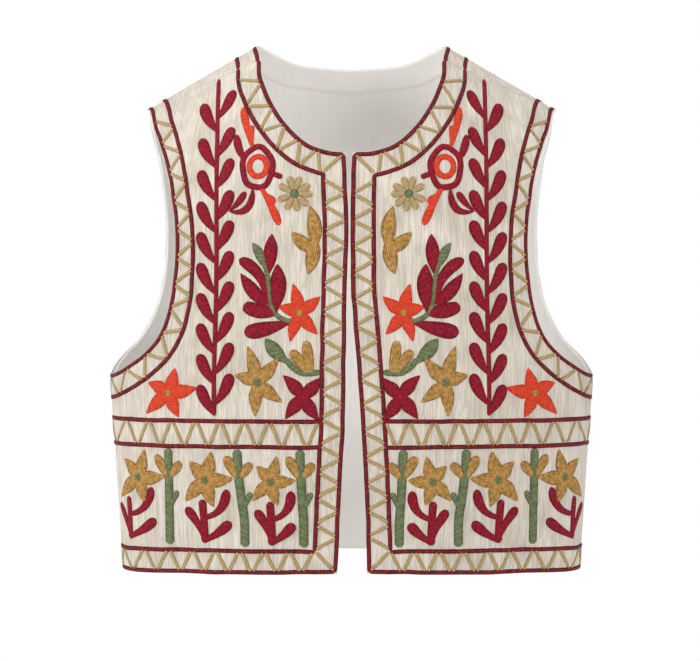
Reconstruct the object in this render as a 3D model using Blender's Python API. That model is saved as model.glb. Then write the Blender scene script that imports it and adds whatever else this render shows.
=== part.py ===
"""Embroidered waistcoat in its worn form: two open fronts, the back, and the back's lining.

Metres, +Z up. The fronts face -Y, and +X is on the right of someone who looks at them. The origin is on
the centre line, at the height of the middle of the shoulders, where the wearer holds the waistcoat up.

A place on the cloth has two angles. around is 0 on the centre line and a quarter turn at each side seam.
over is 0 on top of the shoulder, falls to the front and rises to the back.
"""

import math

import bmesh
import bpy
import numpy as np

# Sections of the worn cloth from the hem up, on a general figure
SECTIONS = {
    "height": (-0.471, -0.380, -0.283, -0.190, -0.100, -0.030, 0.060),
    "half_width": (0.2194, 0.2255, 0.2312, 0.2290, 0.2230, 0.2160, 0.2080),
    "front_depth": (0.090, 0.095, 0.101, 0.103, 0.097, 0.087, 0.076),
    "back_depth": (0.090, 0.089, 0.092, 0.097, 0.098, 0.091, 0.080),
}
SQUARENESS = 2.3  # 2 makes a section an ellipse, and more makes it boxier

# The top of the shoulders
NECK_POINT_X = 0.0915
NECK_POINT_Z = 0.030
SHOULDER_FALL = 0.5755
SHOULDER_ROUND = 0.150  # height over which the cloth turns from lying to hanging
TIP_X = 0.1968

# The shoulder seam lies in front of the top of the shoulder, most of all at the neck
SEAM_NECK_X = 0.0857
SEAM_DROP = 0.0215
SEAM_BOW = 0.85

# Heights of the edges
HEM_SIDE_Z = -0.471
HEM_FRONT_Z = -0.466
HEM_BACK_RISE = 0.008
UNDERARM_Z = -0.2835
NECK_CORNER_Z = -0.080

# Centre front edges from the neck down: the fronts meet above and part towards the hem
OPENING = {
    "height": (-0.466, -0.420, -0.380, -0.330, -0.270, -0.215, -0.155, -0.080),
    "right_front": (-0.0132, -0.0110, -0.0091, -0.0062, -0.0055, -0.0046, -0.0030, -0.0055),
    "left_front": (0.0142, 0.0132, 0.0114, 0.0087, 0.0046, 0.0005, -0.0010, 0.0009),
}

# Armholes from the underarm up to the tip of the shoulder, without their two ends
FRONT_ARMHOLE = {
    "x": (0.2111, 0.1938, 0.1795, 0.1731, 0.1686, 0.1640, 0.1624, 0.1664, 0.1736, 0.1817, 0.1872),
    "z": (-0.2763, -0.2644, -0.2490, -0.2361, -0.2213, -0.1900, -0.1550, -0.1220, -0.0886, -0.0646, -0.0501),
}
BACK_ARMHOLE = {
    "x": (0.2238, 0.2113, 0.2023, 0.1959, 0.1884, 0.1855, 0.1853, 0.1875, 0.1902, 0.1951),
    "z": (-0.2670, -0.2524, -0.2375, -0.2226, -0.1927, -0.1627, -0.1329, -0.1036, -0.0750, -0.0474),
}

# Necklines from the centre to the shoulder seam, without that end
FRONT_NECK = {
    "x": (0.0201, 0.0320, 0.0439, 0.0532, 0.0616, 0.0711, 0.0780, 0.0841),
    "z": (-0.0791, -0.0758, -0.0691, -0.0610, -0.0508, -0.0366, -0.0216, -0.0051),
}
BACK_NECK = {
    "x": (0.0, 0.0238, 0.0592, 0.0717, 0.0828, 0.0895),
    "drop": (0.0402, 0.0372, 0.0237, 0.0138, 0.0046, 0.0),
}

# Soft folds, as degrees round the body from the centre front: where each lies at its low end, how far it
# has moved at its high end, its heights, half its width and how far it stands out (less than 0 is a hollow)
FOLDS = {
    "at": (-66, -43, -19, 24, 47, 68, -74, 74, 112, 133, 154, 176, -160, -138, -115, 128, -128),
    "lean": (5, 3, 2, -3, -4, -6, 26, -26, 4, 3, 2, 0, -2, -4, -5, 22, -22),
    "low": (-0.48, -0.48, -0.48, -0.48, -0.48, -0.48, -0.30, -0.30) + (-0.48,) * 7 + (-0.29, -0.29),
    "high": (-0.31, -0.34, -0.36, -0.35, -0.33, -0.30, -0.16, -0.16)
    + (-0.26, -0.30, -0.24, -0.28, -0.25, -0.31, -0.27, -0.11, -0.11),
    "half_width": (9, 8, 8, 8, 9, 9, 9, 9, 9, 8, 9, 9, 8, 9, 8, 10, 10),
    "height": (0.0030, -0.0026, 0.0020, 0.0022, -0.0028, 0.0030, -0.0030, -0.0028)
    + (0.0036, -0.0036, 0.0042, -0.0040, 0.0038, -0.0036, 0.0034, -0.0030, -0.0032),
}

# Cloth walls and the gap that parts two pieces at a seam
FRONT_WALL = 0.0020
BACK_WALL = 0.0016
LINING_WALL = 0.0010
SEAM_GAP = 0.0003
LINING_GAP = 0.0006
LINING_INSET = 0.08  # share of a grid square that the lining stays inside the back's edges

# Grid squares of each panel. Front and back have the same rows at the side seam.
SIDE_ROWS = 9
FRONT_COLUMNS = 18
FRONT_ARMHOLE_ROWS = 10
FRONT_NECK_ROWS = 8
BACK_HALF_COLUMNS = 14
BACK_ARMHOLE_ROWS = 11
BACK_SHOULDER_ROWS = 9
FRONT_ARMHOLE_SHARE = 0.66  # of the front armhole's length, below the neck's corner
YOKE_DIP = 0.012  # how far the back's row between the tips hangs below them
RELAX_ROUNDS = 2  # rounds of evening out a grid inside its edges
UNDERARM_DIP = 0.022  # how far the fronts' rows hang under the level stretch of the armhole
DIP_ROW = 8.8
DIP_ROWS = 2.5

COLOURS = {
    "cotton gauze": (0.69, 0.65, 0.56, 1.0),
    "cotton lining": (0.64, 0.60, 0.55, 1.0),
}

QUARTER = math.pi / 2
STEP = 0.001  # radians, for measuring the cloth's direction


def smooth(stops, values, at):
    """Values on a smooth curve through those of a table."""
    stops, values, at = (np.asarray(each, float) for each in (stops, values, at))
    slopes = np.gradient(values, stops)
    left = np.clip(np.searchsorted(stops, at) - 1, 0, len(stops) - 2)
    span = stops[left + 1] - stops[left]
    t = (at - stops[left]) / span
    rise = 3 * t**2 - 2 * t**3
    return (
        (1 - rise) * values[left]
        + rise * values[left + 1]
        + (t**3 - 2 * t**2 + t) * span * slopes[left]
        + (t**3 - t**2) * span * slopes[left + 1]
    )


def section(name, height):
    return smooth(SECTIONS["height"], SECTIONS[name], height)


def ridge(x):
    """Height of the top of the shoulder: a straight fall outside the neck, and a low arch between."""
    x = np.abs(x)
    arch = SHOULDER_FALL * NECK_POINT_X / 2
    inside = NECK_POINT_Z + arch * (1 - (x / NECK_POINT_X) ** 2)
    outside = NECK_POINT_Z - SHOULDER_FALL * (x - NECK_POINT_X)
    return np.where(x < NECK_POINT_X, inside, outside)


def over_from_drop(drop, side):
    """The angle over the shoulder at a drop below its top. side is -1 in front and 1 behind."""
    share = drop / SHOULDER_ROUND
    turning = np.arccos(np.clip(1 - share, 0, 1))
    return side * np.where(share < 1, turning, QUARTER + share - 1)


def drop_from_over(over):
    turn = np.abs(over)
    share = np.where(turn < QUARTER, 1 - np.cos(turn), 1 + turn - QUARTER)
    return SHOULDER_ROUND * share


def x_at(around, height):
    sine = np.sin(around)
    return np.sign(sine) * section("half_width", height) * np.abs(sine) ** (2 / SQUARENESS)


def around_at(x, height):
    share = np.clip(np.abs(x) / section("half_width", height), 0, 1)
    return np.sign(x) * np.arcsin(share ** (SQUARENESS / 2))


def body(around, over):
    """Points of the smooth outer surface, as an array that ends in x, y and z."""
    around, over = np.broadcast_arrays(np.asarray(around, float), np.asarray(over, float))
    drop = drop_from_over(over)
    x = x_at(around, ridge(0.0) - drop)
    for _ in range(8):
        z = ridge(x) - drop
        x = x_at(around, z)
    depth = np.where(over < 0, -section("front_depth", z), section("back_depth", z))
    cosine = np.cos(around)
    inward = np.sign(cosine) * np.abs(cosine) ** (2 / SQUARENESS)
    y = depth * inward * np.sin(np.minimum(np.abs(over), QUARTER))
    return np.stack([x, y, z], axis=-1)


def outward(around, over):
    """Directions straight out of the smooth surface."""
    along = body(around + STEP, over) - body(around - STEP, over)
    upward = body(around, over + STEP) - body(around, over - STEP)
    normal = np.cross(along, upward)
    return normal / np.linalg.norm(normal, axis=-1, keepdims=True)


def folds(around, over, height):
    """How far the folds move the cloth out, at angles counted round the whole body."""
    degrees = np.degrees(around)
    degrees = np.where(over < 0, degrees, np.where(degrees < 0, -180, 180) - degrees)
    total = np.zeros_like(degrees)
    for fold in zip(*FOLDS.values()):
        at, lean, low, high, half_width, stands = fold
        climb = np.clip((height - low) / (high - low), 0, 1)
        away = (degrees - at - lean * climb + 180) % 360 - 180
        fade = 1 - climb**2 * (3 - 2 * climb)
        if low > HEM_SIDE_Z:
            fade = np.sin(climb * math.pi) ** 2
        total += stands * fade * np.exp(-((away / half_width) ** 2))
    return total


def cloth(around, over):
    """The folded outer surface and its outward directions."""
    smooth_points = body(around, over)
    normals = outward(around, over)
    reach = folds(around, over, smooth_points[..., 2])
    return smooth_points + reach[..., None] * normals, normals


def angles(x, z, side):
    """The two angles of places given by x and height on the front or the back."""
    x, z = np.asarray(x, float), np.asarray(z, float)
    return around_at(x, z), over_from_drop(ridge(x) - z, side)


def side_seam(height, side):
    """The side seam, half a gap short of the exact side."""
    depth = section("front_depth" if side < 0 else "back_depth", height)
    around = np.arccos((SEAM_GAP / 2 / depth) ** (SQUARENESS / 2))
    x = section("half_width", height)
    return around, over_from_drop(ridge(x) - height, side)


def shoulder_seam(share, side):
    """The shoulder seam from the neck, 0, to the tip, 1. side -1 gives the fronts' edge and 1 the back's."""
    neck = around_at(SEAM_NECK_X, ridge(SEAM_NECK_X) - SEAM_DROP)
    tip = around_at(TIP_X, ridge(TIP_X))
    around = neck + (tip - neck) * np.asarray(share, float)
    x = x_at(around, ridge(NECK_POINT_X + TIP_X) / 2)
    for _ in range(8):
        left = np.clip((TIP_X - x) / (TIP_X - SEAM_NECK_X), 0, 1)
        drop = SEAM_DROP * left**SEAM_BOW
        x = x_at(around, ridge(x) - drop)
    over = over_from_drop(drop, -1)
    per_radian = np.linalg.norm(body(around, over + STEP) - body(around, over - STEP), axis=-1) / (2 * STEP)
    return around, over + side * SEAM_GAP / 2 / per_radian


def evenly(around, over, steps):
    """Even steps along a smooth edge through a few places on the cloth."""
    places = np.stack([around, over], axis=-1)
    marks = np.concatenate([[0], np.cumsum(np.linalg.norm(np.diff(body(around, over), axis=0), axis=-1))])
    fine = np.linspace(0, marks[-1], 400)
    path = np.stack([smooth(marks, places[:, k], fine) for k in range(2)], axis=-1)
    lengths = np.linalg.norm(np.diff(body(path[:, 0], path[:, 1]), axis=0), axis=-1)
    run = np.concatenate([[0], np.cumsum(lengths)])
    at = np.linspace(0, run[-1], steps + 1)
    return np.interp(at, run, path[:, 0]), np.interp(at, run, path[:, 1])


def armhole(table, side, steps):
    """Even steps up an armhole, from the side seam to the tip of the shoulder."""
    under = side_seam(UNDERARM_Z, side)
    tip = shoulder_seam(1.0, -1 if side < 0 else 1)
    middle = angles(table["x"], table["z"], side)
    around = np.concatenate([[under[0]], middle[0], [tip[0]]])
    over = np.concatenate([[under[1]], middle[1], [tip[1]]])
    return evenly(around, over, steps)


def straight_row(inner, outer, columns, dip):
    """A row whose height runs straight between its ends, but for a dip that is deepest near the outer end."""
    share = np.linspace(0, 1, columns + 1)
    around = inner[0] + (outer[0] - inner[0]) * share
    low, high = body(*inner)[2], body(*outer)[2]
    hang = share**5 * (1 - share)
    z = low + (high - low) * share - dip * hang / hang.max()
    return around, ridge(x_at(around, z)) - z


def relaxed(grid):
    """The same grid of one angle, its inner crossings evened out between their neighbours."""
    for _ in range(RELAX_ROUNDS):
        grid[1:-1, 1:-1] = (grid[2:, 1:-1] + grid[:-2, 1:-1] + grid[1:-1, 2:] + grid[1:-1, :-2]) / 4
    return grid


def front_grid(opening):
    """Both angles of one front's grid, from the hem up and from the centre front out."""
    heights = np.linspace(HEM_FRONT_Z, UNDERARM_Z, SIDE_ROWS + 1)
    heights = np.concatenate([heights, np.linspace(UNDERARM_Z, NECK_CORNER_Z, FRONT_ARMHOLE_ROWS + 1)[1:]])
    edge_x = smooth(OPENING["height"], opening, heights)
    inner = angles(edge_x, heights, -1)
    seam_neck = shoulder_seam(0.0, -1)
    neck = angles(FRONT_NECK["x"], FRONT_NECK["z"], -1)
    corner = (inner[0][-1], inner[1][-1])
    neck_edge = evenly(
        np.concatenate([[corner[0]], neck[0], [seam_neck[0]]]),
        np.concatenate([[corner[1]], neck[1], [seam_neck[1]]]),
        FRONT_NECK_ROWS,
    )
    inner = [np.concatenate([inner[k], neck_edge[k][1:]]) for k in range(2)]

    side = side_seam(np.linspace(HEM_SIDE_Z, UNDERARM_Z, SIDE_ROWS + 1), -1)
    fine = 100
    hole = armhole(FRONT_ARMHOLE, -1, fine)
    low = np.linspace(0, FRONT_ARMHOLE_SHARE, FRONT_ARMHOLE_ROWS + 1)[1:]
    high = np.linspace(FRONT_ARMHOLE_SHARE, 1, FRONT_NECK_ROWS + 1)[1:]
    marks = np.concatenate([low, high]) * fine
    outer = [np.concatenate([side[k], np.interp(marks, range(fine + 1), hole[k])]) for k in range(2)]

    rows = []
    below_neck = SIDE_ROWS + FRONT_ARMHOLE_ROWS
    seam = shoulder_seam(np.linspace(0, 1, FRONT_COLUMNS + 1), -1)
    for row in range(below_neck + FRONT_NECK_ROWS + 1):
        ends = [(inner[0][row], inner[1][row]), (outer[0][row], outer[1][row])]
        dip = UNDERARM_DIP * math.exp(-(((row - DIP_ROW) / DIP_ROWS) ** 2))
        around, drop = straight_row(*ends, FRONT_COLUMNS, dip)
        climb = max(0, row - below_neck) / FRONT_NECK_ROWS
        over = over_from_drop(drop, -1)
        if climb > 0:
            share = np.linspace(0, 1, FRONT_COLUMNS + 1)
            start = over[0] - seam[1][0]
            stop = over[-1] - seam[1][-1]
            like_seam = seam[1] + start + (stop - start) * share
            over = (1 - climb) * over + climb * like_seam
        rows.append((around, over))
    return np.array([row[0] for row in rows]), relaxed(np.array([row[1] for row in rows]))


def back_grid():
    """Both angles of the back's grid, from the hem up and from one side to the other."""
    side_heights = np.linspace(HEM_SIDE_Z, UNDERARM_Z, SIDE_ROWS + 1)
    side = side_seam(side_heights, 1)
    hole = armhole(BACK_ARMHOLE, 1, BACK_ARMHOLE_ROWS)
    edge = [np.concatenate([side[k], hole[k][1:]]) for k in range(2)]
    share = np.linspace(0, 1, BACK_HALF_COLUMNS + 1)

    rows = []
    count = len(edge[0]) - 1
    for row in range(count + 1):
        end_x, _, end_z = body(edge[0][row], edge[1][row])
        rise = HEM_BACK_RISE - (HEM_BACK_RISE + YOKE_DIP) * row / count
        around = edge[0][row] * (1 - share)
        z = end_z + rise * (1 - (x_at(around, end_z) / end_x) ** 2)
        rows.append((around, over_from_drop(np.maximum(ridge(x_at(around, z)) - z, 0), 1)))
        rows[-1][1][0] = edge[1][row]

    seam_neck = shoulder_seam(0.0, 1)
    neck_around = around_at(BACK_NECK["x"], ridge(BACK_NECK["x"]) - BACK_NECK["drop"])
    neck_over = over_from_drop(np.array(BACK_NECK["drop"]), 1)
    neck = evenly(
        np.concatenate([[seam_neck[0]], neck_around[::-1]]),
        np.concatenate([[seam_neck[1]], neck_over[::-1]]),
        BACK_HALF_COLUMNS,
    )
    yoke = rows[-1]
    for row in range(1, BACK_SHOULDER_ROWS + 1):
        climb = row / BACK_SHOULDER_ROWS
        end = shoulder_seam(1 - climb, 1)
        blended = [(1 - climb) * yoke[k] + climb * neck[k] for k in range(2)]
        rows.append(tuple(blended[k] + (end[k] - blended[k][0]) * (1 - share) for k in range(2)))

    around = np.array([row[0] for row in rows])
    over = np.array([row[1] for row in rows])
    around = np.concatenate([-around, around[:, -2::-1]], axis=1)
    return relaxed(around), relaxed(np.concatenate([over, over[:, -2::-1]], axis=1))


def colour(name):
    material = bpy.data.materials.new(name)
    material.use_nodes = True
    shader = material.node_tree.nodes["Principled BSDF"]
    shader.inputs["Base Color"].default_value = COLOURS[name]
    shader.inputs["Roughness"].default_value = 0.9
    shader.inputs["Metallic"].default_value = 0.0
    material.diffuse_color = COLOURS[name]
    return material


def wall(name, outside, inside, material):
    """A closed wall between two grids of points that have the same rows and columns."""
    rows, columns = outside.shape[0] - 1, outside.shape[1] - 1
    shell = bmesh.new()
    bmesh.ops.create_grid(shell, x_segments=columns, y_segments=rows, size=1)
    place = shell.verts.layers.int.new("place")
    for index, vertex in enumerate(shell.verts):
        vertex[place] = index
    bmesh.ops.triangulate(shell, faces=shell.faces[:])
    raised = bmesh.ops.extrude_face_region(shell, geom=shell.faces[:])["geom"]
    raised = {item for item in raised if isinstance(item, bmesh.types.BMVert)}
    for vertex in shell.verts:
        row, column = divmod(vertex[place], columns + 1)
        vertex.co = (outside if vertex in raised else inside)[row, column]
    bmesh.ops.recalc_face_normals(shell, faces=shell.faces[:])
    mesh = bpy.data.meshes.new(name)
    shell.to_mesh(mesh)
    shell.free()
    mesh.shade_smooth()
    mesh.set_sharp_from_angle(angle=math.radians(60))
    piece = bpy.data.objects.new(name, mesh)
    piece.data.materials.append(material)
    bpy.context.scene.collection.objects.link(piece)


def inset(points):
    """The same grid with its four edges drawn in a little."""
    points = points.copy()
    for _ in range(2):
        points[0] += LINING_INSET * (points[1] - points[0])
        points[-1] += LINING_INSET * (points[-2] - points[-1])
        points = points.swapaxes(0, 1)
    return points


def clear_scene():
    for item in list(bpy.data.objects):
        bpy.data.objects.remove(item)


def fronts(gauze):
    for name, side in (("front_right", -1), ("front_left", 1)):
        opening = np.array(OPENING["right_front" if side < 0 else "left_front"])
        around, over = front_grid(side * opening)
        points, normals = cloth(side * around, over)
        wall(name, points, points - FRONT_WALL * normals, gauze)


def back_and_lining(gauze, lining):
    around, over = back_grid()
    points, normals = cloth(around, over)
    wall("back", points, points - BACK_WALL * normals, gauze)
    outside = points - (BACK_WALL + LINING_GAP) * normals
    wall("back_lining", inset(outside), inset(outside - LINING_WALL * normals), lining)


clear_scene()
gauze_cloth = colour("cotton gauze")
lining_cloth = colour("cotton lining")
fronts(gauze_cloth)
back_and_lining(gauze_cloth, lining_cloth)
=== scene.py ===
"""Looks of the embroidered waistcoat: crinkled cotton fronts and back, a plain lining and the embroidery.

Metres, +Z up. The fronts face -Y, and the origin is at the middle of the shoulders.

A place on the cloth has two angles. around is 0 on the centre line and a quarter turn at each side seam.
over is 0 on top of the shoulder, falls to the front and rises to the back. A path is an array of places.
The embroidery is placed by millimetres out from the centre line and by height, and is worked the same
way on both fronts.
"""

import math

import bmesh
import bpy
import numpy as np
from mathutils import Matrix, Vector


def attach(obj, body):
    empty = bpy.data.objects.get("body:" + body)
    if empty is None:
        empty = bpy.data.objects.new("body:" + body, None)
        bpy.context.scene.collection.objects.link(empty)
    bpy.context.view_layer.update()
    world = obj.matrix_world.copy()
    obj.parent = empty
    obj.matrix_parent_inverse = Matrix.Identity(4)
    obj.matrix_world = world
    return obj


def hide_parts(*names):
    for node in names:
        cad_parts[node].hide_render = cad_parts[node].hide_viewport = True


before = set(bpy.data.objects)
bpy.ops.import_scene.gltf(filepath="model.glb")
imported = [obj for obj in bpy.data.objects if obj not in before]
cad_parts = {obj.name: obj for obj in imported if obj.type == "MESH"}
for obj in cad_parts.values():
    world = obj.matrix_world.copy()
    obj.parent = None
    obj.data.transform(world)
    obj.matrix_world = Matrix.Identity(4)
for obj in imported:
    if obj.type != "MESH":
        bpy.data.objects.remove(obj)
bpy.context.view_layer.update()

# Sections of the worn cloth from the hem up, as in the solids
SECTIONS = {
    "height": (-0.471, -0.380, -0.283, -0.190, -0.100, -0.030, 0.060),
    "half_width": (0.2194, 0.2255, 0.2312, 0.2290, 0.2230, 0.2160, 0.2080),
    "front_depth": (0.090, 0.095, 0.101, 0.103, 0.097, 0.087, 0.076),
    "back_depth": (0.090, 0.089, 0.092, 0.097, 0.098, 0.091, 0.080),
}
SQUARENESS = 2.3  # 2 makes a section an ellipse, and more makes it boxier

# The top of the shoulders
NECK_POINT_X = 0.0915
NECK_POINT_Z = 0.030
SHOULDER_FALL = 0.5755
SHOULDER_ROUND = 0.150  # height over which the cloth turns from lying to hanging
TIP_X = 0.1968

# The shoulder seam lies in front of the top of the shoulder, most of all at the neck
SEAM_NECK_X = 0.0857
SEAM_DROP = 0.0215
SEAM_BOW = 0.85

# Heights of the edges
HEM_SIDE_Z = -0.471
HEM_FRONT_Z = -0.466
HEM_BACK_RISE = 0.008
UNDERARM_Z = -0.2835
NECK_CORNER_Z = -0.080

# Centre front edges, and the armholes and necks without their ends
OPENING = {
    "height": (-0.466, -0.420, -0.380, -0.330, -0.270, -0.215, -0.155, -0.080),
    "right_front": (-0.0132, -0.0110, -0.0091, -0.0062, -0.0055, -0.0046, -0.0030, -0.0055),
    "left_front": (0.0142, 0.0132, 0.0114, 0.0087, 0.0046, 0.0005, -0.0010, 0.0009),
}
FRONT_ARMHOLE = {
    "x": (0.2111, 0.1938, 0.1795, 0.1731, 0.1686, 0.1640, 0.1624, 0.1664, 0.1736, 0.1817, 0.1872),
    "z": (-0.2763, -0.2644, -0.2490, -0.2361, -0.2213, -0.1900, -0.1550, -0.1220, -0.0886, -0.0646, -0.0501),
}
BACK_ARMHOLE = {
    "x": (0.2238, 0.2113, 0.2023, 0.1959, 0.1884, 0.1855, 0.1853, 0.1875, 0.1902, 0.1951),
    "z": (-0.2670, -0.2524, -0.2375, -0.2226, -0.1927, -0.1627, -0.1329, -0.1036, -0.0750, -0.0474),
}
FRONT_NECK = {
    "x": (0.0201, 0.0320, 0.0439, 0.0532, 0.0616, 0.0711, 0.0780, 0.0841),
    "z": (-0.0791, -0.0758, -0.0691, -0.0610, -0.0508, -0.0366, -0.0216, -0.0051),
}
BACK_NECK = {
    "x": (0.0, 0.0238, 0.0592, 0.0717, 0.0828, 0.0895),
    "drop": (0.0402, 0.0372, 0.0237, 0.0138, 0.0046, 0.0),
}

# Soft folds: degrees round the body, how far they lean, the heights between which they run, their
# half width in degrees and how far they stand out
FOLDS = {
    "at": (-66, -43, -19, 24, 47, 68, -74, 74, 112, 133, 154, 176, -160, -138, -115, 128, -128),
    "lean": (5, 3, 2, -3, -4, -6, 26, -26, 4, 3, 2, 0, -2, -4, -5, 22, -22),
    "low": (-0.48, -0.48, -0.48, -0.48, -0.48, -0.48, -0.30, -0.30) + (-0.48,) * 7 + (-0.29, -0.29),
    "high": (-0.31, -0.34, -0.36, -0.35, -0.33, -0.30, -0.16, -0.16)
    + (-0.26, -0.30, -0.24, -0.28, -0.25, -0.31, -0.27, -0.11, -0.11),
    "half_width": (9, 8, 8, 8, 9, 9, 9, 9, 9, 8, 9, 9, 8, 9, 8, 10, 10),
    "height": (0.0016, -0.0026, 0.0020, 0.0022, -0.0028, 0.0016, -0.0030, -0.0028)
    + (0.0036, -0.0036, 0.0042, -0.0040, 0.0038, -0.0036, 0.0034, -0.0030, -0.0032),
}

FRONT_WALL = 0.0020
BACK_WALL = 0.0016
LINING_WALL = 0.0010
LINING_GAP = 0.0006
SEAM_GAP = 0.0003

# Rows of the panels, counted as in the solids
SIDE_ROWS = 9
FRONT_ARMHOLE_ROWS = 10
FRONT_NECK_ROWS = 8
BACK_ARMHOLE_ROWS = 11
BACK_SHOULDER_ROWS = 9
FRONT_ROWS = SIDE_ROWS + FRONT_ARMHOLE_ROWS + FRONT_NECK_ROWS
BACK_ROWS = SIDE_ROWS + BACK_ARMHOLE_ROWS + BACK_SHOULDER_ROWS
FRONT_ARMHOLE_SHARE = 0.66  # share of the armhole that lies below the corner of the neck
YOKE_DIP = 0.012  # how far the back's row between the tips hangs below them
UNDERARM_DIP = 0.022  # how far the fronts' rows hang under the level stretch of the armhole
DIP_ROW = 8.8
DIP_ROWS = 2.5

QUARTER = math.pi / 2
MM = 0.001
STEP = 0.001  # radians, for measuring the cloth's direction
ROUNDS = 8  # rounds in which a place and its height settle on each other
FINE = 400  # steps along an edge that is read in between
EVEN_SHARES = np.linspace(0, 1, FINE + 1)


# The surface of the worn cloth

def smooth(stops, values, at):
    """Values on a smooth curve through those of a table."""
    stops, values, at = (np.asarray(each, float) for each in (stops, values, at))
    slopes = np.gradient(values, stops)
    left = np.clip(np.searchsorted(stops, at) - 1, 0, len(stops) - 2)
    span = stops[left + 1] - stops[left]
    t = (at - stops[left]) / span
    rise = 3 * t**2 - 2 * t**3
    return (
        (1 - rise) * values[left]
        + rise * values[left + 1]
        + (t**3 - 2 * t**2 + t) * span * slopes[left]
        + (t**3 - t**2) * span * slopes[left + 1]
    )


def section(name, height):
    """The half width or a depth of the body at a height."""
    return smooth(SECTIONS["height"], SECTIONS[name], height)


def ridge(x):
    """Height of the top of the shoulder: a straight fall outside the neck, and a low arch between."""
    x = np.abs(x)
    arch = SHOULDER_FALL * NECK_POINT_X / 2
    inside = NECK_POINT_Z + arch * (1 - (x / NECK_POINT_X) ** 2)
    outside = NECK_POINT_Z - SHOULDER_FALL * (x - NECK_POINT_X)
    return np.where(x < NECK_POINT_X, inside, outside)


def over_from_drop(drop, side):
    """The angle over the shoulder at a drop below its top. side is -1 in front and 1 behind."""
    share = drop / SHOULDER_ROUND
    turning = np.arccos(np.clip(1 - share, 0, 1))
    return side * np.where(share < 1, turning, QUARTER + share - 1)


def drop_from_over(over):
    """The drop below the top of the shoulder at an angle over it."""
    turn = np.abs(over)
    share = np.where(turn < QUARTER, 1 - np.cos(turn), 1 + turn - QUARTER)
    return SHOULDER_ROUND * share


def x_at(around, height):
    """Distance from the centre line at an angle round the body."""
    sine = np.sin(around)
    return np.sign(sine) * section("half_width", height) * np.abs(sine) ** (2 / SQUARENESS)


def around_at(x, height):
    """The angle round the body at a distance from the centre line."""
    share = np.clip(np.abs(x) / section("half_width", height), 0, 1)
    return np.sign(x) * np.arcsin(share ** (SQUARENESS / 2))


def body(around, over):
    """Points of the smooth outer surface, as an array that ends in x, y and z."""
    around, over = np.broadcast_arrays(np.asarray(around, float), np.asarray(over, float))
    drop = drop_from_over(over)
    x = x_at(around, ridge(0.0) - drop)
    for _ in range(ROUNDS):
        z = ridge(x) - drop
        x = x_at(around, z)
    depth = np.where(over < 0, -section("front_depth", z), section("back_depth", z))
    cosine = np.cos(around)
    inward = np.sign(cosine) * np.abs(cosine) ** (2 / SQUARENESS)
    y = depth * inward * np.sin(np.minimum(np.abs(over), QUARTER))
    return np.stack([x, y, z], axis=-1)


def slopes(around, over):
    """How the surface moves as each angle grows."""
    along = body(around + STEP, over) - body(around - STEP, over)
    upward = body(around, over + STEP) - body(around, over - STEP)
    return along / (2 * STEP), upward / (2 * STEP)


def unit(vectors):
    """Vectors brought to the length 1."""
    return vectors / np.linalg.norm(vectors, axis=-1, keepdims=True)


def folds(around, over, height):
    """How far the folds move the cloth out, at angles counted round the whole body."""
    degrees = np.degrees(around)
    degrees = np.where(over < 0, degrees, np.where(degrees < 0, -180, 180) - degrees)
    total = np.zeros_like(degrees)
    for at, lean, low, high, half_width, stands in zip(*FOLDS.values()):
        climb = np.clip((height - low) / (high - low), 0, 1)
        away = (degrees - at - lean * climb + 180) % 360 - 180
        fade = 1 - climb**2 * (3 - 2 * climb)
        if low > HEM_SIDE_Z:
            fade = np.sin(climb * math.pi) ** 2
        total += stands * fade * np.exp(-((away / half_width) ** 2))
    return total


def cloth(around, over):
    """The folded outer surface and its outward directions."""
    points = body(around, over)
    normals = unit(np.cross(*slopes(around, over)))
    return points + folds(around, over, points[..., 2])[..., None] * normals, normals


def angles(x, z, side):
    """The two angles of places given by x and height on the front or the back."""
    x, z = np.asarray(x, float), np.asarray(z, float)
    return around_at(x, z), over_from_drop(ridge(x) - z, side)


def side_seam(height, side):
    """The side seam, half a gap short of the exact side."""
    depth = section("front_depth" if side < 0 else "back_depth", height)
    around = np.arccos((SEAM_GAP / 2 / depth) ** (SQUARENESS / 2))
    x = section("half_width", height)
    return around, over_from_drop(ridge(x) - height, side)


def shoulder_seam(share, side):
    """The shoulder seam from the neck, 0, to the tip, 1. side -1 gives the fronts' edge and 1 the back's."""
    neck = around_at(SEAM_NECK_X, ridge(SEAM_NECK_X) - SEAM_DROP)
    tip = around_at(TIP_X, ridge(TIP_X))
    around = neck + (tip - neck) * np.asarray(share, float)
    x = x_at(around, ridge(NECK_POINT_X + TIP_X) / 2)
    for _ in range(ROUNDS):
        left = np.clip((TIP_X - x) / (TIP_X - SEAM_NECK_X), 0, 1)
        drop = SEAM_DROP * left**SEAM_BOW
        x = x_at(around, ridge(x) - drop)
    over = over_from_drop(drop, -1)
    per_radian = np.linalg.norm(slopes(around, over)[1], axis=-1)
    return around, over + side * SEAM_GAP / 2 / per_radian


def run_of(path):
    """Length along a path, at each of its places."""
    steps = np.linalg.norm(np.diff(body(path[..., 0], path[..., 1]), axis=-2), axis=-1)
    return np.concatenate([np.zeros_like(steps[..., :1]), np.cumsum(steps, axis=-1)], axis=-1)


def along_path(path, shares):
    """Places at shares of a path's length."""
    run = run_of(path)
    return np.stack([np.interp(np.asarray(shares) * run[-1], run, path[:, k]) for k in range(2)], axis=-1)


def evenly(*parts):
    """An even path along a smooth edge, through parts that are one place or several."""
    places = np.vstack([np.stack(part, axis=-1) for part in parts])
    marks = run_of(places)
    fine = np.linspace(0, marks[-1], FINE)
    path = np.stack([smooth(marks, places[:, k], fine) for k in range(2)], axis=-1)
    return along_path(path, EVEN_SHARES)


def place_on(path, share):
    """The two angles at a share of an even path."""
    return [np.interp(share * FINE, np.arange(FINE + 1), path[:, k]) for k in range(2)]


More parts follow.
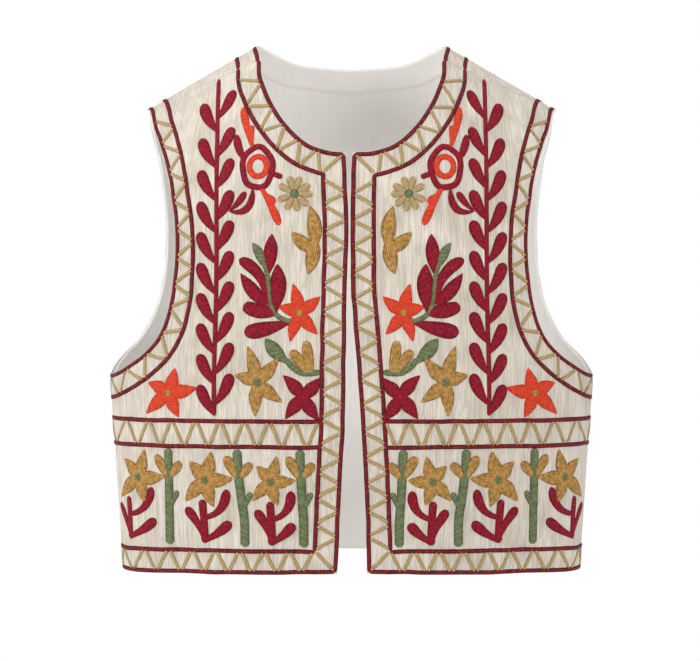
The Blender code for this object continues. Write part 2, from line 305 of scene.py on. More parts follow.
def armhole(table, side):
    """The edge of an armhole, from the side seam to the tip of the shoulder."""
    middle = angles(table["x"], table["z"], side)
    return evenly(side_seam(UNDERARM_Z, side), middle, shoulder_seam(1.0, side))


# The cut of each panel

def front_neck(opening):
    """The neck edge of one front, from the centre front to the shoulder seam."""
    corner = angles(smooth(OPENING["height"], opening, NECK_CORNER_Z), NECK_CORNER_Z, -1)
    return evenly(corner, angles(FRONT_NECK["x"], FRONT_NECK["z"], -1), shoulder_seam(0.0, -1))


def front_edges(opening):
    """The embroidered edges of one front, each as a path that keeps the cloth on its left."""
    heights = np.linspace(NECK_CORNER_Z, HEM_FRONT_Z, FINE + 1)
    return {
        "neck": front_neck(opening)[::-1],
        "opening": np.stack(angles(smooth(OPENING["height"], opening, heights), heights, -1), axis=-1),
        "hem": front_places(opening, [0.0], EVEN_SHARES)[0],
        "armhole": armhole(FRONT_ARMHOLE, -1),
    }


def front_places(opening, rows, shares):
    """Places of one front by row, from the hem up, and by share, from the centre front to the outside."""
    neck = front_neck(opening)
    hole = armhole(FRONT_ARMHOLE, -1)
    seam = shoulder_seam(shares, -1)
    corner_row = SIDE_ROWS + FRONT_ARMHOLE_ROWS
    placed = []
    for row in rows:
        if row <= corner_row:
            height = np.interp(row, (0, SIDE_ROWS, corner_row), (HEM_FRONT_Z, UNDERARM_Z, NECK_CORNER_Z))
            inner = angles(smooth(OPENING["height"], opening, height), height, -1)
        else:
            inner = place_on(neck, (row - corner_row) / FRONT_NECK_ROWS)
        if row <= SIDE_ROWS:
            outer = side_seam(np.interp(row, (0, SIDE_ROWS), (HEM_SIDE_Z, UNDERARM_Z)), -1)
        else:
            climb = np.interp(row, (SIDE_ROWS, corner_row, FRONT_ROWS), (0, FRONT_ARMHOLE_SHARE, 1))
            outer = place_on(hole, climb)
        around = inner[0] + (outer[0] - inner[0]) * shares
        low, high = body(*inner)[2], body(*outer)[2]
        hang = shares**5 * (1 - shares)
        dip = UNDERARM_DIP * math.exp(-(((row - DIP_ROW) / DIP_ROWS) ** 2))
        z = low + (high - low) * shares - dip * hang / hang.max()
        over = over_from_drop(ridge(x_at(around, z)) - z, -1)
        climb = max(0.0, row - corner_row) / FRONT_NECK_ROWS
        start, stop = over[0] - seam[1][0], over[-1] - seam[1][-1]
        over = (1 - climb) * over + climb * (seam[1] + start + (stop - start) * shares)
        placed.append(np.stack([around, over], axis=-1))
    return np.array(placed)


def back_places(rows, shares):
    """Places of the back's +X half by row, from the hem up, and by share, from the side to the centre."""
    hole = armhole(BACK_ARMHOLE, 1)
    yoke_row = SIDE_ROWS + BACK_ARMHOLE_ROWS

    def lower(row):
        if row <= SIDE_ROWS:
            edge = side_seam(np.interp(row, (0, SIDE_ROWS), (HEM_SIDE_Z, UNDERARM_Z)), 1)
        else:
            edge = place_on(hole, (row - SIDE_ROWS) / BACK_ARMHOLE_ROWS)
        end_x, _, end_z = body(*edge)
        rise = HEM_BACK_RISE - (HEM_BACK_RISE + YOKE_DIP) * row / yoke_row
        around = edge[0] * (1 - shares)
        z = end_z + rise * (1 - (x_at(around, end_z) / end_x) ** 2)
        over = over_from_drop(np.maximum(ridge(x_at(around, z)) - z, 0), 1)
        over[0] = edge[1]
        return np.stack([around, over], axis=-1)

    x, drop = (np.array(BACK_NECK[name])[::-1] for name in ("x", "drop"))
    neck = evenly(shoulder_seam(0.0, 1), (around_at(x, ridge(x) - drop), over_from_drop(drop, 1)))
    neck = np.stack(place_on(neck, shares), axis=-1)
    yoke = lower(yoke_row)
    placed = []
    for row in rows:
        if row <= yoke_row:
            placed.append(lower(row))
            continue
        climb = (row - yoke_row) / BACK_SHOULDER_ROWS
        end = np.stack(shoulder_seam(1 - climb, 1), axis=-1)
        blended = (1 - climb) * yoke + climb * neck
        placed.append(blended + (end - blended[0]) * (1 - shares)[:, None])
    return np.array(placed)


def both_halves(rows, shares):
    """Places of the whole back by row and from side to side."""
    half = back_places(rows, shares)
    return np.concatenate([half * (-1, 1), half[:, -2::-1]], axis=1)


# Cloth shells

RIM_SHARES = (0.0, 0.0012, 0.0030, 0.0055)  # extra columns that round the long edges
RIM_ROWS = (0.0, 0.02, 0.05, 0.11, 0.25)  # extra rows that round the hem
FRONT_COLUMNS = 264
BACK_HALF_COLUMNS = 150
LINING_HALF_COLUMNS = 70
ROWS_EACH = 4  # rows of a shell for each row of its solid
LINING_ROWS_EACH = 3

EDGE_ROUND = 0.0011  # width of the rounding along an edge
EDGE_BLUNT = 0.0002  # half of the flat that is left between the two roundings of an edge
PLAIN_EDGE = 0.004  # width over which the crinkles fade out at an edge

CRINKLE = 0.00070
CRINKLE_INSIDE = 0.5  # share of the crinkles' depth that shows on the inside
CRINKLE_SIZES = {"sway": (0.0120, 0.030), "fine": (0.0050, 0.034), "wide": (0.0120, 0.060)}
CRINKLE_SWAY = 0.0016
FINE_SHARE = 0.6

TABLE = 256  # random heights each way, after which a ripple repeats
REACH_OVER = -(QUARTER + 1.3)  # the angle over the shoulder at which the cloth is measured across
REACH_TURNS = np.linspace(0, QUARTER, 721)
REACH_RUN = run_of(np.stack([REACH_TURNS, np.full(len(REACH_TURNS), REACH_OVER)], axis=-1))


def finer_ends(last, count, rim):
    """Even steps from 0 to last with those of a rim at both ends."""
    rim = np.array(rim)
    return np.concatenate([rim, np.linspace(0, last, count + 1)[2:-2], last - rim[::-1]])


def ripple(across, along, width, length, seed):
    """Smooth random heights from -1 to 1 whose bumps have about the given width and length."""
    table = np.random.default_rng(seed).uniform(-1, 1, (TABLE, TABLE))
    u, v = across / width, along / length
    column, row = np.floor(u).astype(int), np.floor(v).astype(int)
    s, t = u - column, v - row
    s, t = s * s * (3 - 2 * s), t * t * (3 - 2 * t)
    left, right = column % TABLE, (column + 1) % TABLE
    low, high = (table[r % TABLE, left] * (1 - s) + table[r % TABLE, right] * s for r in (row, row + 1))
    return low * (1 - t) + high * t


def across_of(around):
    """Metres across the cloth from the centre line."""
    return np.sign(around) * np.interp(np.abs(around), REACH_TURNS, REACH_RUN)


def flat_of(places):
    """Where places lie on the flat cloth, in metres across and along."""
    return np.stack([across_of(places[..., 0]), SHOULDER_ROUND * places[..., 1]], axis=-1)


def crinkle(flat, seed):
    """Depth of the gauze's lengthwise crinkles from 0 to 1, which are fine ones over wide ones."""
    across, along = flat[..., 0], flat[..., 1]
    sway = CRINKLE_SWAY * ripple(across, along, *CRINKLE_SIZES["sway"], seed)
    fine = 1 - np.abs(ripple(across + sway, along, *CRINKLE_SIZES["fine"], seed + 1))
    wide = 1 - np.abs(ripple(across + 2 * sway, along, *CRINKLE_SIZES["wide"], seed + 2))
    return FINE_SHARE * fine**2 + (1 - FINE_SHARE) * wide**3


def from_edges(points):
    """Distance of each point of a grid to the nearest edge of the grid, measured along its lines."""
    away = np.full(points.shape[:2], 1.0)
    for axis in range(2):
        steps = np.linalg.norm(np.diff(points, axis=axis), axis=-1)
        run = np.insert(np.cumsum(steps, axis=axis), 0, 0, axis=axis)
        away = np.minimum(away, np.minimum(run, run.take([-1], axis=axis) - run))
    return away


def new_object(name, shell, materials, flat_uv, **shades):
    """A piece from its shell. shades are named values of its grid points that its materials read."""
    mesh = bpy.data.meshes.new(name)
    shell.to_mesh(mesh)
    shell.free()
    place = np.empty(len(mesh.vertices), int)
    mesh.attributes["place"].data.foreach_get("value", place)
    corner = np.empty(len(mesh.loops), int)
    mesh.loops.foreach_get("vertex_index", corner)
    uv = mesh.uv_layers.new(name="flat")
    uv.uv.foreach_set("vector", flat_uv[place[corner]].astype(np.float32).ravel())
    for shade, values in shades.items():
        mesh.attributes.new(shade, "FLOAT", "POINT").data.foreach_set("value", values.ravel()[place])
    mesh.attributes.remove(mesh.attributes["place"])
    mesh.attributes.remove(mesh.attributes["raised"])
    mesh.shade_smooth()
    piece = bpy.data.objects.new(name, mesh)
    for material in materials:
        mesh.materials.append(material)
    bpy.context.scene.collection.objects.link(piece)
    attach(piece, "root")
    return piece


def grids(tops, bottoms):
    """A closed wall for each grid of points between its top and its bottom, in one bmesh."""
    shell = bmesh.new()
    place = shell.verts.layers.int.new("place")
    raised = shell.verts.layers.int.new("raised")
    first = 0
    for top, bottom in zip(tops, bottoms):
        rows, columns = top.shape[0] - 1, top.shape[1] - 1
        made = bmesh.ops.create_grid(shell, x_segments=columns, y_segments=rows, size=1)["verts"]
        for index, vertex in enumerate(made):
            vertex[place] = first + index
        flat = list({face for vertex in made for face in vertex.link_faces})
        lifted = bmesh.ops.extrude_face_region(shell, geom=flat)["geom"]
        lifted = [item for item in lifted if isinstance(item, bmesh.types.BMVert)]
        for vertex in lifted:
            vertex[raised] = 1
            vertex.co = top[divmod(vertex[place] - first, columns + 1)]
        for vertex in made:
            vertex.co = bottom[divmod(vertex[place] - first, columns + 1)]
        first += (rows + 1) * (columns + 1)
    bmesh.ops.recalc_face_normals(shell, faces=shell.faces[:])
    for face in shell.faces:
        face.material_index = 0 if any(vertex[raised] for vertex in face.verts) else 1
    return shell


def cloth_piece(name, places, wall, seed):
    """A thin panel of gauze on its places, with crinkles outside, a plain inside and rounded edges."""
    points, normals = cloth(places[..., 0], places[..., 1])
    flat = flat_of(places)
    away = from_edges(points)
    rounding = np.clip(1 - away / EDGE_ROUND, 0, 1)
    fall = (1 - np.sqrt(1 - rounding**2)) * (wall / 2 - EDGE_BLUNT)
    crease = crinkle(flat, seed) * np.clip(away / PLAIN_EDGE, 0, 1)
    top = points - (fall + CRINKLE * crease)[..., None] * normals
    bottom = points - (wall - fall + CRINKLE_INSIDE * CRINKLE * crease)[..., None] * normals
    return new_object(name, grids([top], [bottom]), [GAUZE, LINING], flat.reshape(-1, 2), crease=crease)


# Stitches

STITCH_SINK = 0.0008  # how far stitches reach into the cloth
STITCH_RIM = -0.00018  # brings the rim of a patch of stitches down to the cloth
STITCH_ROUND = 0.96  # 1 would round a patch to a half circle
FULL_FROM = 1.6  # a patch is less raised where it is narrower than its widest place divided by this
ACROSS = 6
LONG_STEP = 0.004  # the longest step in which a path is moved aside
SHARP_ANGLE = 65  # degrees from which an edge of stitches is shaded sharp
THREADWORK = {}


def dot(a, b):
    """Dot products of vectors."""
    return (a * b).sum(axis=-1)


def stepped(path, move):
    """Places reached from others by short moves along the cloth."""
    along, upward = slopes(path[..., 0], path[..., 1])
    aa, au, uu = dot(along, along), dot(along, upward), dot(upward, upward)
    ma, mu = dot(move, along), dot(move, upward)
    square = aa * uu - au**2
    return path + np.stack([(uu * ma - au * mu) / square, (aa * mu - au * ma) / square], axis=-1)


def aside(path):
    """Directions along the cloth, square to a path."""
    along, upward = slopes(path[..., 0], path[..., 1])
    points = body(path[..., 0], path[..., 1])
    return unit(np.cross(unit(np.cross(along, upward)), np.gradient(points, axis=-2)))


def beside(path, distance):
    """The path that runs beside another at a distance along the cloth, or at one distance for each place."""
    distance = np.reshape(distance, (-1, 1))
    count = math.ceil(np.abs(distance).max() / LONG_STEP)
    for _ in range(count):
        path = stepped(path, aside(path) * distance / count)
    return path


def sew(panel, thread, paths, half_widths, height):
    """Raised patches of stitches along paths, an array of patches by steps by the two angles."""
    half_widths = np.broadcast_to(half_widths, paths.shape[:-1])
    across = np.linspace(-1, 1, ACROSS + 1)
    unit_step = stepped(paths, aside(paths) * MM) - paths
    reach = half_widths[..., None] * across
    places = paths[..., None, :] + unit_step[..., None, :] * reach[..., None] / MM
    fullness = np.clip(half_widths / half_widths.max(axis=-1, keepdims=True) * FULL_FROM, 0, 1) ** 0.5
    lift = STITCH_RIM + height * fullness[..., None] * np.sqrt(1 - (STITCH_ROUND * across) ** 2)
    flat = np.stack(np.broadcast_arrays(run_of(paths)[..., None], reach), axis=-1)
    # How near each point lies to the rim of its patch; the floss darkens it there as painted shade
    rim = np.broadcast_to(np.abs(across), lift.shape) ** 4
    THREADWORK.setdefault((panel, thread), []).extend(zip(places, lift, flat, rim))


def joined(arrays, *shape):
    """One long array from many of rows by columns."""
    return np.concatenate([array.reshape(-1, *shape) for array in arrays])


def embroidered(panel, mirrored):
    """The embroidery of a panel, as one joined mesh for each thread."""
    pieces = []
    for thread in [thread for owner, thread in THREADWORK if owner == panel]:
        places, lifts, flats, rims = zip(*THREADWORK[panel, thread])
        sizes = [lift.shape for lift in lifts]
        cuts = np.cumsum([lift.size for lift in lifts])[:-1]
        places = joined(places, 2) * (-1 if mirrored else 1, 1)
        points, normals = cloth(places[:, 0], places[:, 1])
        tops = points + joined(lifts)[:, None] * normals
        bottoms = points - STITCH_SINK * normals
        tops, bottoms = (
            [part.reshape(*size, 3) for part, size in zip(np.split(side, cuts), sizes)]
            for side in (tops, bottoms)
        )
        shell, material = grids(tops, bottoms), FLOSS[thread]
        name = f"{panel}_{thread}"
        piece = new_object(name, shell, [material, material], joined(flats, 2), rim=joined(rims))
        piece.data.set_sharp_from_angle(angle=math.radians(SHARP_ANGLE))
        pieces.append(piece)
    return pieces


# Widths along a petal, from its root to its tip
PROFILES = {
    "share": (0.0, 0.06, 0.15, 0.30, 0.45, 0.60, 0.75, 0.87, 0.94, 0.98, 1.0),
    "leaf": (0.32, 0.38, 0.50, 0.70, 0.88, 0.98, 1.00, 0.88, 0.66, 0.40, 0.05),
    "petal": (0.30, 0.46, 0.66, 0.90, 1.00, 0.94, 0.72, 0.44, 0.24, 0.12, 0.04),
    "star": (0.62, 0.68, 0.80, 0.97, 1.00, 0.82, 0.57, 0.36, 0.21, 0.10, 0.03),
    "round": (0.34, 0.46, 0.62, 0.82, 0.95, 1.00, 0.97, 0.80, 0.58, 0.34, 0.05),
    "club": (0.50, 0.54, 0.58, 0.66, 0.78, 0.92, 1.00, 0.92, 0.72, 0.44, 0.06),
    "oval": (0.22, 0.31, 0.46, 0.77, 0.96, 1.00, 0.85, 0.55, 0.32, 0.16, 0.04),
    "blunt": (0.58, 0.68, 0.80, 0.92, 1.00, 1.00, 0.95, 0.82, 0.66, 0.44, 0.06),
    "even": (0.30, 0.80, 0.96, 1.00, 1.00, 1.00, 1.00, 0.96, 0.80, 0.55, 0.10),
    "dot": (0.06, 0.48, 0.71, 0.92, 1.00, 0.98, 0.87, 0.67, 0.47, 0.28, 0.06),
    "taper": (0.12, 0.34, 0.55, 0.80, 0.96, 1.00, 0.92, 0.72, 0.46, 0.26, 0.06),
}
PETAL_SHARES = (1 - np.cos(np.linspace(0, math.pi, 15))) / 2  # places along a petal, closer at its ends
PETAL_HEIGHT = 0.0009
STEM_END = 0.45  # width of a stem at its ends
STAR_ROOT = 0.02  # share of a ray at which its petal starts
STAR_BEND = 0.8
DAISY_HEART_HEIGHT = 0.0014
HEART_RING_HEIGHT = 0.0017
HEART_KNOT_HEIGHT = 0.0019
HEART_RING, HEART_THREAD, HEART_KNOT = 0.30, 0.40, 0.36  # radius and widths in a heart of width 1


def flat_path(out, up):
    """The path through points given in millimetres across the flat front and in height."""
    z = np.asarray(up, float) * MM
    around = np.interp(np.abs(np.asarray(out, float)) * MM, REACH_RUN, REACH_TURNS) * np.sign(out)
    return np.stack([around, over_from_drop(ridge(x_at(around, z)) - z, -1)], axis=-1)


def laid_out(points):
    """Points seen at millimetres out from the centre line and up, in millimetres across the flat front."""
    points = np.atleast_2d(points).astype(float)
    out = across_of(around_at(points[:, 0] * MM, points[:, 1] * MM)) / MM
    return np.stack([out, points[:, 1]], axis=-1)


def petals(panel, thread, roots, tips, bends, widths, profile, height=PETAL_HEIGHT, flat=False):
    """Petals from roots to tips in millimetres, each bowed to its left by its bend."""
    roots, tips = (np.atleast_2d(ends).astype(float) if flat else laid_out(ends) for ends in (roots, tips))
    t = PETAL_SHARES[:, None]
    line = tips - roots
    bow = np.stack([-line[:, 1], line[:, 0]], axis=-1)
    bow *= (np.broadcast_to(bends, len(roots)) / np.linalg.norm(line, axis=-1))[:, None]
    spines = roots[:, None] + line[:, None] * t + bow[:, None] * 4 * t * (1 - t)
    half = 0.5 * MM * np.broadcast_to(widths, len(roots))[:, None]
    half = half * smooth(PROFILES["share"], PROFILES[profile], t[:, 0])
    sew(panel, thread, flat_path(spines[..., 0], spines[..., 1]), half, height)


def stem(panel, thread, points, width, height=PETAL_HEIGHT, ends=True, flat=False, step=2.5):
    """A line of stitches on a smooth curve through points in millimetres, narrower at its ends."""
    points = np.array(points, float) if flat else laid_out(points)
    marks = np.concatenate([[0], np.cumsum(np.linalg.norm(np.diff(points, axis=0), axis=-1))])
    count = max(6, round(marks[-1] / step))
    at = np.linspace(0, marks[-1], count + 1)
    line = np.stack([smooth(marks, points[:, k], at) for k in range(2)], axis=-1)
    half = np.full(count + 1, 0.5 * width * MM)
    if ends:
        half[[0, -1]] *= STEM_END
    sew(panel, thread, flat_path(line[:, 0], line[:, 1])[None], half[None], height)


def star(panel, thread, centre, turns, lengths, width, heart=None, heart_width=8.0):
    """A flower of pointed petals, with a ring of thread round a knot as its heart."""
    turns = np.radians(turns)
    rays = np.stack([np.cos(turns), np.sin(turns)], axis=-1) * np.array(lengths)[:, None]
    petals(panel, thread, centre + STAR_ROOT * rays, centre + rays, STAR_BEND, width, "star")
    if heart:
        centre = laid_out(centre)[0]
        around = np.linspace(0, 2.1 * math.pi, 14)
        ring = centre + np.stack([np.sin(around), np.cos(around)], axis=-1) * heart_width * HEART_RING
        stem(panel, heart, ring, heart_width * HEART_THREAD, HEART_RING_HEIGHT, ends=False, flat=True)
        knot = heart_width * HEART_KNOT
        ends = centre - (0, knot / 2), centre + (0, knot / 2)
        petals(panel, heart, *ends, 0, knot, "dot", HEART_KNOT_HEIGHT, flat=True)


BORDER_WIDTH = 0.0040
HOLE_WIDTH = 0.0036  # the line beside a front's armhole
LINE_HEIGHT = 0.0008
LINE_STEP = 0.0022
SWAY = 0.0004  # how far a line guided by hand strays to either side
SWAY_LENGTH = 0.016
SWAY_OWN = 40  # turns the place where a line starts into a sway of its own
SWAY_SEED = 71
LINE_END = 0.5  # width of a line at its ends

BAR_WIDTH = 0.0034
BAR_SHARES = np.array((0.07, 0.09, 0.13, 0.3, 0.5, 0.7, 0.87, 0.91, 0.93))  # places along a bar
BAR_HALF_WIDTHS = BAR_WIDTH / 2 * np.array((0.5, 0.85, 1, 1, 1, 1, 1, 0.85, 0.5))
TURN = 0.0010  # how far beside a turn of a zigzag each of its bars ends
LAST_STEP = 0.49  # share of what is left to the side seam that each of the last two turns takes


def line_of_stitches(panel, thread, path, width):
    """A long line of stitches on a path, which strays a little in its own way."""
    length = run_of(path)[-1]
    count = max(2, round(length / LINE_STEP))
    even = along_path(path, np.linspace(0, 1, count + 1))
    run = np.linspace(0, length, count + 1)
    own = np.full(count + 1, SWAY_OWN * even[0].sum())
    even = beside(even, SWAY * ripple(run, own, SWAY_LENGTH, 1.0, SWAY_SEED))
    half = np.full(count + 1, width / 2)
    half[[0, -1]] *= LINE_END
    sew(panel, thread, even[None], half[None], LINE_HEIGHT)


def bars(panel, starts, stops):
    """Straight stitches between places."""
    paths = starts[:, None] + (stops - starts)[:, None] * BAR_SHARES[:, None]
    sew(panel, "olive", paths, BAR_HALF_WIDTHS[None], LINE_HEIGHT)


def zigzag(panel, first, second, first_at, second_at):
    """Straight bars to and fro between two border lines, with their turns at shares of each line."""
    lines = [first, second]
    turns = np.zeros(len(first_at) + len(second_at))
    turns[::2], turns[1::2] = first_at, second_at
    leave = [along_path(line, turns + TURN / run_of(line)[-1]) for line in lines]
    reach = [along_path(line, turns - TURN / run_of(line)[-1]) for line in lines]
    on_first = np.arange(len(turns))[:, None] % 2 == 0
    bars(panel, np.where(on_first, *leave)[:-1], np.where(on_first, *reach)[1:])


def even_turns(first, last, count):
    """Shares of the turns of an even zigzag of count bars to and fro, on its two lines."""
    turns = np.linspace(first, last, 2 * count + 1)
    return turns[::2], turns[1::2]


def shares_at(path, x):
    """Shares of a path's length where it passes the given distances from the centre line."""
    run = run_of(path)
    return np.interp(x, body(path[:, 0], path[:, 1])[:, 0], run / run[-1])


def level_turns(top, low, x):
    """Shares of a level zigzag's turns, at distances from the centre line and on to the side seam."""
    first, second = shares_at(top, x[::2]), shares_at(low, x[1::2])
    step = LAST_STEP * (1 - first[-1])
    return np.append(first, first[-1] + 2 * step), np.append(second, first[-1] + step)


# Materials

THREAD_APART = 0.0007  # between the threads of the weave
CREASE_STRETCH = 0.08  # width of a thin crease by its length
CREASE_EDGE = 0.10  # how far from the noise's middle a thin crease fades out
# Painted shade: how much darker the thin creases are painted
CREASE_PAINTED_SHADE = -0.25
CLOUDS = 30.0  # soft uneven spots to a metre
CLOUD_TONES = (0.6, 0.2)  # how much the spots differ, and the darkest of them
WEAVE_RELIEF = 0.15
CLOTH_TONES = (-0.10, 0.70)  # shares that show as the dark and as the light colour

WOBBLES = 260.0  # uneven places to a metre of thread
ROW_STRAY = (0.4, 0.3)  # how much a row strays, and its least, in rows
RIB_LEAN = 0.45  # how far satin stitches lean
ROW_SHIFT = 0.37  # of a stitch, from one row to the next
LOOP_FULLNESS = 0.4  # less makes each stitch fuller
# Weights of a thread's colour: painted light on each crest and painted shade between stitches, a random tone
# per stitch, random unevenness, and painted shade at a patch's rim
STITCH_PAINTED_LIGHT, OWN_SHADE, WOBBLE_SHADE, RIM_PAINTED_SHADE = 0.50, 0.35, 0.55, -0.32
THREAD_TONES = (0.28, 1.02)
FLECK = "#E6D9C4"  # the light that catches a few stitches
FLECKS = (320, 1300, 1)  # to a metre, along a stitch and across it
FLECK_RANGE = (0.62, 0.74)
FLECK_SHARE = 0.12


def linear(hex_colour):
    """Linear RGBA of an sRGB hex colour."""
    parts = [int(hex_colour[k:k + 2], 16) / 255 for k in (1, 3, 5)]
    return [c / 12.92 if c <= 0.04045 else ((c + 0.055) / 1.055) ** 2.4 for c in parts] + [1.0]


def node(tree, kind, inputs=(), out=0, **settings):
    """Adds a node and gives one of its outputs. Its inputs are values or outputs, by order or by name."""
    new = tree.nodes.new("ShaderNode" + kind)
    for name, value in settings.items():
        setattr(new, name, value)
    for socket, value in inputs.items() if isinstance(inputs, dict) else enumerate(inputs):
        if isinstance(value, bpy.types.NodeSocket):
            tree.links.new(value, new.inputs[socket])
        else:
            new.inputs[socket].default_value = value
    return new.outputs[out]


def new_material(name, values):
    """A material, its node tree and its shader, whose sockets get the given values."""
    material = bpy.data.materials.new(name)
    material.use_nodes = True
    tree = material.node_tree
    shader = next(item for item in tree.nodes if item.type == "BSDF_PRINCIPLED")
    for socket, value in values.items():
        shader.inputs[socket].default_value = value
    return material, tree, shader


def cotton(name, light, dark, pleat, bump_depth, thin, dip):
    """Woven cotton that reads its flat place in metres, with thin lengthwise creases pleat wide.

    thin is how much painted shade darkens the thin creases, and dip how much painted shade darkens the
    modelled ones.
    """
    matt = {"Roughness": 0.92, "Specular IOR Level": 0.25, "Sheen Weight": 0.12, "Sheen Roughness": 0.5}
    material, tree, shader = new_material(name, matt)
    flat = node(tree, "UVMap", uv_map="flat")
    across = node(tree, "SeparateXYZ", [flat], "X")
    along = node(tree, "SeparateXYZ", [flat], "Y")

    # Long thin creases where a stretched noise crosses its middle
    stretched = node(tree, "Mapping", {"Vector": flat, "Scale": (1 / pleat, CREASE_STRETCH / pleat, 1)})
    wave = node(tree, "TexNoise", {"Vector": stretched, "Scale": 1.0, "Detail": 1.0, "Roughness": 0.5})
    wave = node(tree, "Math", [wave, 0.5], operation="SUBTRACT")
    wave = node(tree, "Math", [wave], operation="ABSOLUTE")
    line = node(tree, "MapRange", [wave, 0.0, CREASE_EDGE, 1.0, 0.0], interpolation_type="SMOOTHSTEP")
    cloudy = node(tree, "TexNoise", {"Vector": flat, "Scale": CLOUDS, "Detail": 3.0})
    cloudy = node(tree, "Math", [cloudy, *CLOUD_TONES], operation="MULTIPLY_ADD")
    # Painted shade: darker where the modelled creases sink and along the thin creases, over soft random
    # spots of tone
    sunk = node(tree, "Attribute", out="Fac", attribute_name="crease")
    share = node(tree, "Math", [sunk, -dip, cloudy], operation="MULTIPLY_ADD")
    share = node(tree, "Math", [line, CREASE_PAINTED_SHADE * thin, share], operation="MULTIPLY_ADD")
    share = node(tree, "MapRange", [share, *CLOTH_TONES, 0.0, 1.0])
    colour = node(tree, "Mix", {0: share, 6: linear(dark), 7: linear(light)}, 2, data_type="RGBA")
    tree.links.new(colour, shader.inputs["Base Color"])

    # The weave
    per_metre = 2 * math.pi / THREAD_APART
    warp, weft = (node(tree, "Math", [way, per_metre], operation="MULTIPLY") for way in (across, along))
    warp, weft = (node(tree, "Math", [way], operation="SINE") for way in (warp, weft))
    weave = node(tree, "Math", [warp, weft], operation="MULTIPLY")
    relief = node(tree, "Math", [line, -1.0, cloudy], operation="MULTIPLY_ADD")
    relief = node(tree, "Math", [weave, WEAVE_RELIEF, relief], operation="MULTIPLY_ADD")
    bump = node(tree, "Bump", {"Height": relief, "Strength": 1.0, "Distance": bump_depth})
    tree.links.new(bump, shader.inputs["Normal"])
    return material


def floss(name, light, dark, row, stitch, bump_depth, satin=False):
    """Embroidery cotton, in satin stitches across each petal or in rows of short stitches along it.

    row is the width of a row of stitches and stitch the length of one.
    """
    material, tree, shader = new_material(name, {"Roughness": 0.60, "Specular IOR Level": 0.15})
    flat = node(tree, "UVMap", uv_map="flat")
    along = node(tree, "SeparateXYZ", [flat], "X")
    across = node(tree, "SeparateXYZ", [flat], "Y")
    if satin:
        leaning = node(tree, "Math", [across, RIB_LEAN, along], operation="MULTIPLY_ADD")
        along, across = across, leaning

    # Rows that stray a little, and stitches whose ends are pointed like the loops of a chain
    wobble = node(tree, "TexNoise", {"Vector": flat, "Scale": WOBBLES, "Detail": 1.0})
    stray = node(tree, "Math", [wobble, *ROW_STRAY], operation="MULTIPLY_ADD")
    rows = node(tree, "Math", [across, 1 / row, stray], operation="MULTIPLY_ADD")
    number = node(tree, "Math", [rows], operation="FLOOR")
    inside = node(tree, "Math", [rows], operation="FRACT")
    point = node(tree, "Math", [inside, 0.5], operation="SUBTRACT")
    point = node(tree, "Math", [point], operation="ABSOLUTE")
    point = node(tree, "Math", [number, ROW_SHIFT, point], operation="MULTIPLY_ADD")
    places = node(tree, "Math", [along, 1 / stitch, point], operation="MULTIPLY_ADD")
    count = node(tree, "Math", [places], operation="FLOOR")
    within = node(tree, "Math", [places], operation="FRACT")
    crest, loop = (node(tree, "Math", [part, math.pi], operation="MULTIPLY") for part in (inside, within))
    crest, loop = (node(tree, "Math", [part], operation="SINE") for part in (crest, loop))
    loop = node(tree, "Math", [loop, LOOP_FULLNESS], operation="POWER")
    relief = node(tree, "Math", [crest, loop], operation="MULTIPLY")

    # Each stitch has a tone of its own, with painted light on its crest and painted shade in the gaps
    # between stitches, and painted shade at the rim of its patch
    cell = node(tree, "CombineXYZ", [number, count])
    own = node(tree, "TexWhiteNoise", {"Vector": cell}, noise_dimensions="2D")
    rim = node(tree, "Attribute", out="Fac", attribute_name="rim")
    share = node(tree, "Math", [relief, STITCH_PAINTED_LIGHT], operation="MULTIPLY")
    for part, weight in ((own, OWN_SHADE), (wobble, WOBBLE_SHADE), (rim, RIM_PAINTED_SHADE)):
        share = node(tree, "Math", [part, weight, share], operation="MULTIPLY_ADD")
    share = node(tree, "MapRange", [share, *THREAD_TONES, 0.0, 1.0])
    colour = node(tree, "Mix", {0: share, 6: linear(dark), 7: linear(light)}, 2, data_type="RGBA")
    pulled = node(tree, "CombineXYZ", [along, across])
    pulled = node(tree, "Mapping", {"Vector": pulled, "Scale": FLECKS})
    fleck = node(tree, "TexNoise", {"Vector": pulled, "Scale": 1.0, "Detail": 1.0})
    fleck = node(tree, "MapRange", [fleck, *FLECK_RANGE, 0.0, FLECK_SHARE])
    colour = node(tree, "Mix", {0: fleck, 6: colour, 7: linear(FLECK)}, 2, data_type="RGBA")
    tree.links.new(colour, shader.inputs["Base Color"])
    bump = node(tree, "Bump", {"Height": relief, "Strength": 0.8, "Distance": bump_depth})
    tree.links.new(bump, shader.inputs["Normal"])
    return material


# Woven and washed until it crinkles: warm white and matt, with fine lengthwise creases and painted shade in
# their valleys
GAUZE = cotton("crinkled cotton double gauze", "#E9E1D5", "#B5A998", 0.0030, 0.0003, 1.0, 0.20)
